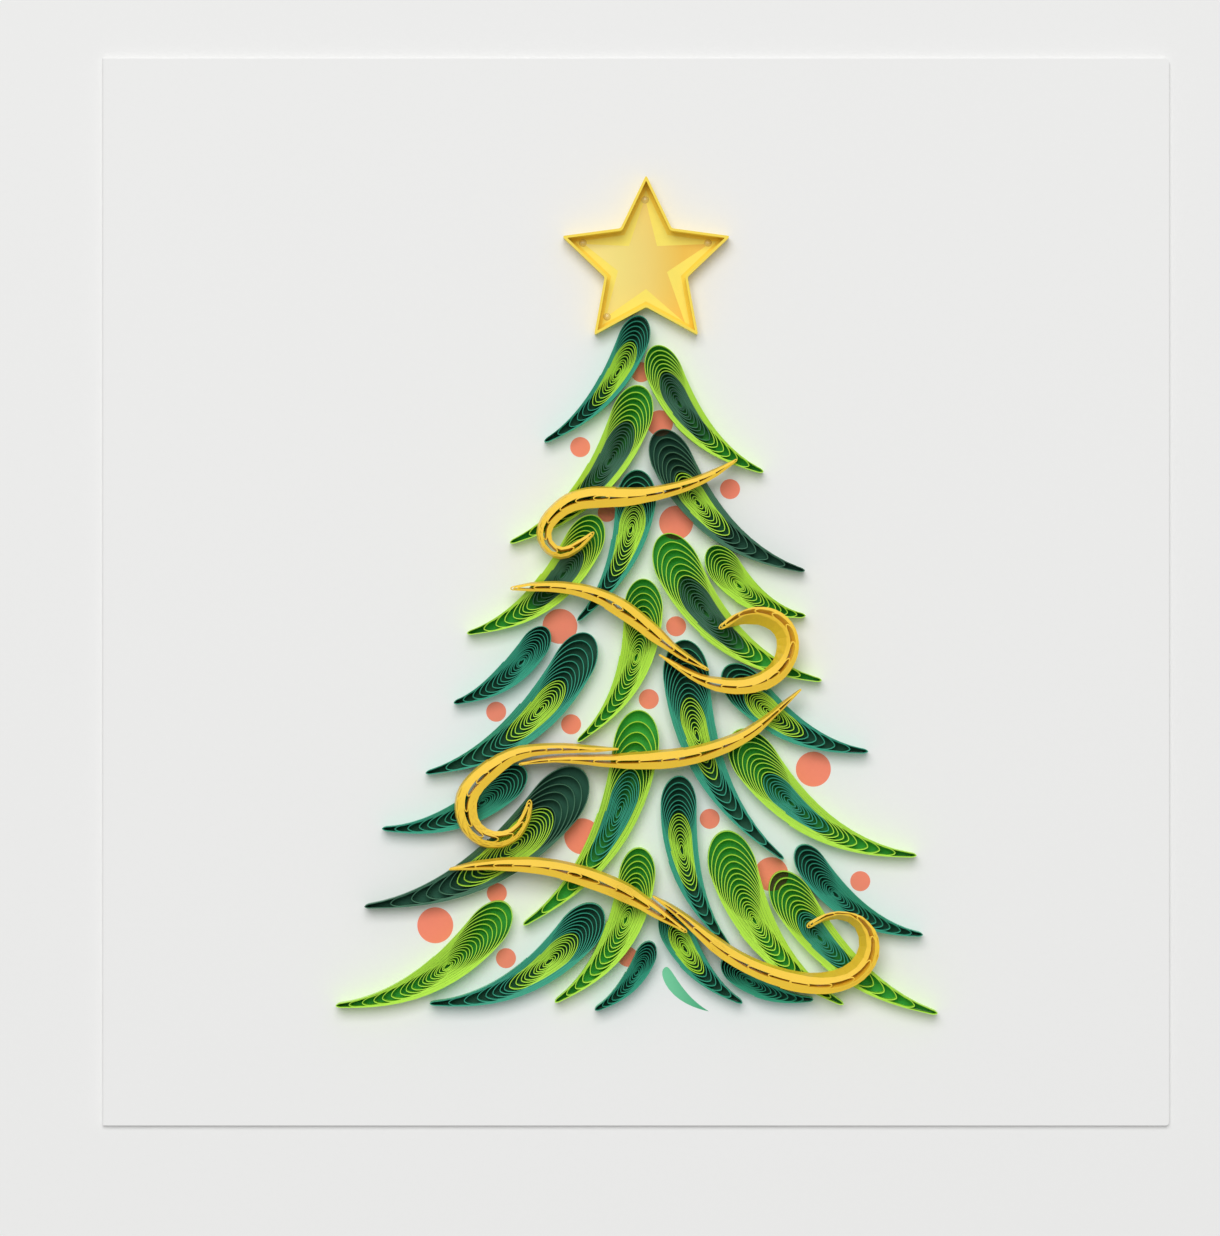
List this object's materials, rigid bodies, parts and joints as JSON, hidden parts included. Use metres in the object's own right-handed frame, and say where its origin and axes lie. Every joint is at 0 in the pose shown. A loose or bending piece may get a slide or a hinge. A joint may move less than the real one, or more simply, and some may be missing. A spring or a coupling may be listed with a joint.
{
  "type": "quilled greeting card",
  "caption": "Square folded greeting card with a fir tree of wound and pinched paper-strip coils, curled garlands and a star outline standing on its front.",
  "frame": {"origin": "middle of the card's back face, where it rests", "axes": "+Z out of the card's front towards the viewer, +Y to the top of the picture, +X to its right; the card is folded along its -X edge"},
  "size_m": [0.1524, 0.1524, 0.0069],
  "materials": {
    "white_card": "matte",
    "lime_paper": "matte",
    "teal_paper": "matte",
    "forest_paper": "matte",
    "yellow_paper": "matte",
    "star_paper": "matte"
  },
  "bodies": {
    "root": {"card": "white_card", "leaf_01": "teal_paper", "leaf_02": "lime_paper", "leaf_03": "lime_paper", "leaf_04": "forest_paper", "leaf_05": "teal_paper", "leaf_06": "lime_paper", "leaf_07": "lime_paper", "leaf_08": "lime_paper", "leaf_09": "lime_paper", "leaf_10": "teal_paper", "leaf_11": "teal_paper", "leaf_12": "teal_paper", "leaf_13": "teal_paper", "leaf_14": "teal_paper", "leaf_15": "lime_paper", "leaf_16": "lime_paper", "leaf_17": "forest_paper", "leaf_18": "teal_paper", "leaf_19": "lime_paper", "leaf_20": "lime_paper", "leaf_21": "teal_paper", "leaf_22": "lime_paper", "leaf_23": "lime_paper", "leaf_24": "teal_paper", "leaf_25": "teal_paper", "leaf_26": "teal_paper", "leaf_27": "teal_paper", "garland_top": "yellow_paper", "garland_second_stem": "yellow_paper", "garland_second_curl": "yellow_paper", "garland_third_stem": "yellow_paper", "garland_third_curl": "yellow_paper", "garland_bottom_stem": "yellow_paper", "garland_bottom_curl": "yellow_paper", "star": "star_paper"}
  },
  "joints": []
}
